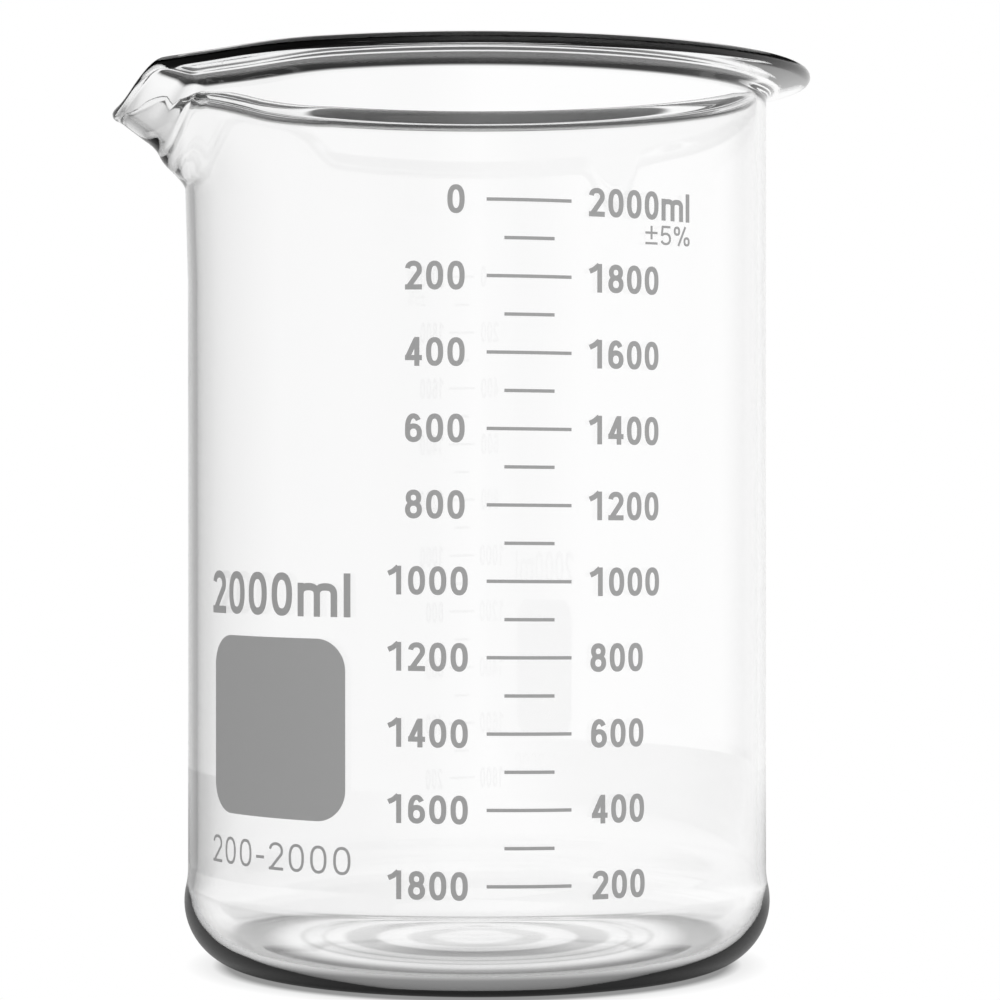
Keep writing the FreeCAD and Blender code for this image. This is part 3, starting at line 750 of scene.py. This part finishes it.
def add_world(stage):
    """A white studio, with even light for rays that are spread.

    Behind the object it is white. Through the glass it is white up to a dark ceiling, and a little darker to
    one side. Its mirror images are darker on the spout's side, and show a large softbox overhead."""
    world = bpy.data.worlds.new("studio")
    bpy.context.scene.world = world
    world.use_nodes = True
    tree = world.node_tree
    tree.nodes.clear()
    path = add_node(tree, "ShaderNodeLightPath")
    ways = add_node(tree, "ShaderNodeTexCoord")
    parts = add_node(tree, "ShaderNodeSeparateXYZ", links={0: ways.outputs["Generated"]})
    ceiling = add_node(tree, "ShaderNodeMapRange", {"interpolation_type": "SMOOTHSTEP"},
                       {"From Min": CEILING[0], "From Max": CEILING[1], "To Min": 1.0,
                        "To Max": CEILING_LIGHT},
                       {"Value": parts.outputs["Z"]})
    sides = add_node(tree, "ShaderNodeMapRange", {"interpolation_type": "SMOOTHSTEP"},
                     {"From Min": DIM_SIDE[0], "From Max": DIM_SIDE[1], "To Min": DIM_LIGHT, "To Max": 1.0},
                     {"Value": parts.outputs["X"]})
    mirror = mirrored(tree)
    across = add_node(tree, "ShaderNodeMapRange", inputs={"From Min": -1},
                      links={"Value": parts.outputs["X"]})
    room_light = add_node(tree, "ShaderNodeValToRGB", links={"Fac": across.outputs["Result"]})
    set_ramp(room_light, ROOM_LIGHT)
    unlit = add_node(tree, "ShaderNodeMix", links={
        0: mirror, 2: room_light.outputs["Color"], 3: sides.outputs["Result"]})
    studio = add_node(tree, "ShaderNodeMath", {"operation": "MULTIPLY"},
                      links={0: ceiling.outputs["Result"], 1: unlit.outputs[0]})
    softbox = add_node(tree, "ShaderNodeMapRange", {"interpolation_type": "SMOOTHSTEP"},
                       {"From Min": SOFTBOX[0], "From Max": SOFTBOX[1], "To Max": 1.0},
                       {"Value": parts.outputs["Z"]})
    above = add_node(tree, "ShaderNodeMath", {"operation": "MULTIPLY_ADD"},
                     links={0: softbox.outputs["Result"], 1: mirror, 2: studio.outputs["Value"]})
    backdrop = add_node(tree, "ShaderNodeMath", {"operation": "MAXIMUM"},
                        links={0: above.outputs["Value"], 1: path.outputs["Is Camera Ray"]})
    white = {"Color": (1, 1, 1, 1)}
    room = add_node(tree, "ShaderNodeBackground", inputs={**white, "Strength": stage.ambient})
    seen = add_node(tree, "ShaderNodeBackground", inputs=white, links={"Strength": backdrop.outputs["Value"]})
    both = add_node(tree, "ShaderNodeMixShader",
                    links={0: seen_directly(tree), 1: room.outputs[0], 2: seen.outputs[0]})
    add_node(tree, "ShaderNodeOutputWorld", links={"Surface": both.outputs["Shader"]})


def add_camera(stage):
    """The photograph's view: close, nearly level and from half the beaker's height."""
    bearing = math.radians(stage.bearing)
    right = Vector((-math.sin(bearing), math.cos(bearing), 0))
    place = Vector((math.cos(bearing) * stage.distance, math.sin(bearing) * stage.distance, stage.height))
    target = right * stage.aim_right + Vector((0, 0, stage.aim_height))
    data = bpy.data.cameras.new("camera")
    data.lens = stage.lens
    camera = bpy.data.objects.new("camera", data)
    camera.location = place
    camera.rotation_euler = (target - place).to_track_quat("-Z", "Y").to_euler()
    bpy.context.scene.collection.objects.link(camera)
    bpy.context.scene.camera = camera


# Operators


class BEAKER_OT_glass(bpy.types.Operator):
    """Add the blown glass"""
    bl_idname = "beaker.glass"
    bl_label = "Glass"

    def execute(self, context):
        points, faces = glass_surface(context.scene.beaker_glass)
        add_piece("blown_glass", points, faces, glass_material(), "borosilicate_glass", ["glass_beaker"],
                  crease=60)
        return {"FINISHED"}


class BEAKER_OT_scale(bpy.types.Operator):
    """Add the lines of the scale"""
    bl_idname = "beaker.scale"
    bl_label = "Scale lines"

    def execute(self, context):
        sizes = context.scene.beaker_print
        strokes = []
        for step in range(2 * sizes.line_count - 1):
            half = (sizes.short_line if step % 2 else sizes.long_line) / 2
            height = sizes.first_line + step * sizes.line_pitch / 2
            strokes.append((line((-half, height), (half, height), 24), sizes.line_width, 0))
        add_print("scale_lines", strokes, sizes.scale_bearing, context.scene.beaker_glass, sizes,
                  ["graduation_lines"], sizes.scale_tilt)
        return {"FINISHED"}


class BEAKER_OT_numerals(bpy.types.Operator):
    """Add the numerals on both sides of the scale"""
    bl_idname = "beaker.numerals"
    bl_label = "Numerals"

    def execute(self, context):
        sizes = context.scene.beaker_print
        step = 200
        full = sizes.line_count * step
        tall, bold, gap = sizes.numeral_height, sizes.numeral_weight, sizes.numeral_gap
        strokes = []
        for row in range(sizes.line_count):
            foot = sizes.first_line + row * sizes.line_pitch - tall / 2
            held = (row + 1) * step
            unit = "ml" if held == full else ""
            drift = sizes.numeral_drift * max(1 - 2 * row / sizes.line_count, 0)
            strokes += lettering(f"{held}{unit}", tall, bold, gap + drift, foot)
            aside = gap + (sizes.short_gap if full - held < 1000 else 0)
            strokes += lettering(str(full - held), tall, bold, -aside, foot, align=1.0)
        add_print("numerals", strokes, sizes.scale_bearing, context.scene.beaker_glass, sizes,
                  tilt=sizes.scale_tilt)
        return {"FINISHED"}


class BEAKER_OT_marks(bpy.types.Operator):
    """Add the large volume mark, the range below the patch and the tolerance beside the scale"""
    bl_idname = "beaker.marks"
    bl_label = "Volume marks"

    def execute(self, context):
        sizes, glass = context.scene.beaker_print, context.scene.beaker_glass
        volume = lettering("2000ml", sizes.volume_height, sizes.volume_weight, 0, sizes.volume_bottom,
                           sizes.volume_width, align=0.5)
        span = lettering("200-2000", sizes.range_height, sizes.range_weight, 0, sizes.range_bottom,
                         sizes.volume_width, align=0.5, spacing=sizes.range_spacing)
        add_print("volume_mark", volume + span, sizes.patch_bearing, glass, sizes)
        tolerance = lettering("±5%", sizes.tolerance_height, sizes.tolerance_weight, sizes.tolerance_right,
                              sizes.tolerance_bottom, sizes.tolerance_width, align=1.0)
        add_print("tolerance_mark", tolerance, sizes.scale_bearing, glass, sizes)
        return {"FINISHED"}


class BEAKER_OT_patch(bpy.types.Operator):
    """Add the patch of enamel that takes a pencil"""
    bl_idname = "beaker.patch"
    bl_label = "Marking patch"

    def execute(self, context):
        points, faces = patch_surface(context.scene.beaker_glass, context.scene.beaker_print)
        add_piece("pencil_patch", points, faces, enamel_material(), "grey_enamel", ["marking_patch"])
        return {"FINISHED"}


class BEAKER_OT_stage(bpy.types.Operator):
    """Add the floor, the light and the camera"""
    bl_idname = "beaker.stage"
    bl_label = "Stage"

    def execute(self, context):
        stage = context.scene.beaker_stage
        context.scene.view_settings.view_transform = "Standard"
        add_world(stage)
        add_floor(stage)
        add_lamp("key_lamp", *KEY_LAMP, stage.key)
        add_lamp("fill_lamp", *FILL_LAMP, stage.fill)
        add_camera(stage)
        return {"FINISHED"}


class BEAKER_PT_build(bpy.types.Panel):
    """Everything that the beaker is made of"""
    bl_idname = "BEAKER_PT_build"
    bl_label = "Laboratory beaker"
    bl_space_type = "VIEW_3D"
    bl_region_type = "UI"
    bl_category = "Beaker"

    def draw(self, context):
        for operator in OPERATORS:
            self.layout.operator(operator.bl_idname)
        for name in SETTINGS:
            box = self.layout.box()
            settings = getattr(context.scene, name)
            for prop in settings.bl_rna.properties:
                if not prop.is_readonly and prop.identifier != "name":
                    box.prop(settings, prop.identifier)


OPERATORS = (BEAKER_OT_glass, BEAKER_OT_scale, BEAKER_OT_numerals, BEAKER_OT_marks, BEAKER_OT_patch,
             BEAKER_OT_stage)
SETTINGS = {
    "beaker_glass": GlassSizes,
    "beaker_print": PrintSizes,
    "beaker_finishes": Finishes,
    "beaker_stage": StageSettings,
}


def register():
    for kind in (*SETTINGS.values(), *OPERATORS, BEAKER_PT_build):
        bpy.utils.register_class(kind)
    for name, kind in SETTINGS.items():
        setattr(bpy.types.Scene, name, PointerProperty(type=kind))


def unregister():
    for name in SETTINGS:
        delattr(bpy.types.Scene, name)
    for kind in reversed((*SETTINGS.values(), *OPERATORS, BEAKER_PT_build)):
        bpy.utils.unregister_class(kind)


def main():
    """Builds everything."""
    register()
    bpy.ops.beaker.glass()
    bpy.ops.beaker.scale()
    bpy.ops.beaker.numerals()
    bpy.ops.beaker.marks()
    bpy.ops.beaker.patch()
    bpy.ops.beaker.stage()


if __name__ == "__main__":
    main()
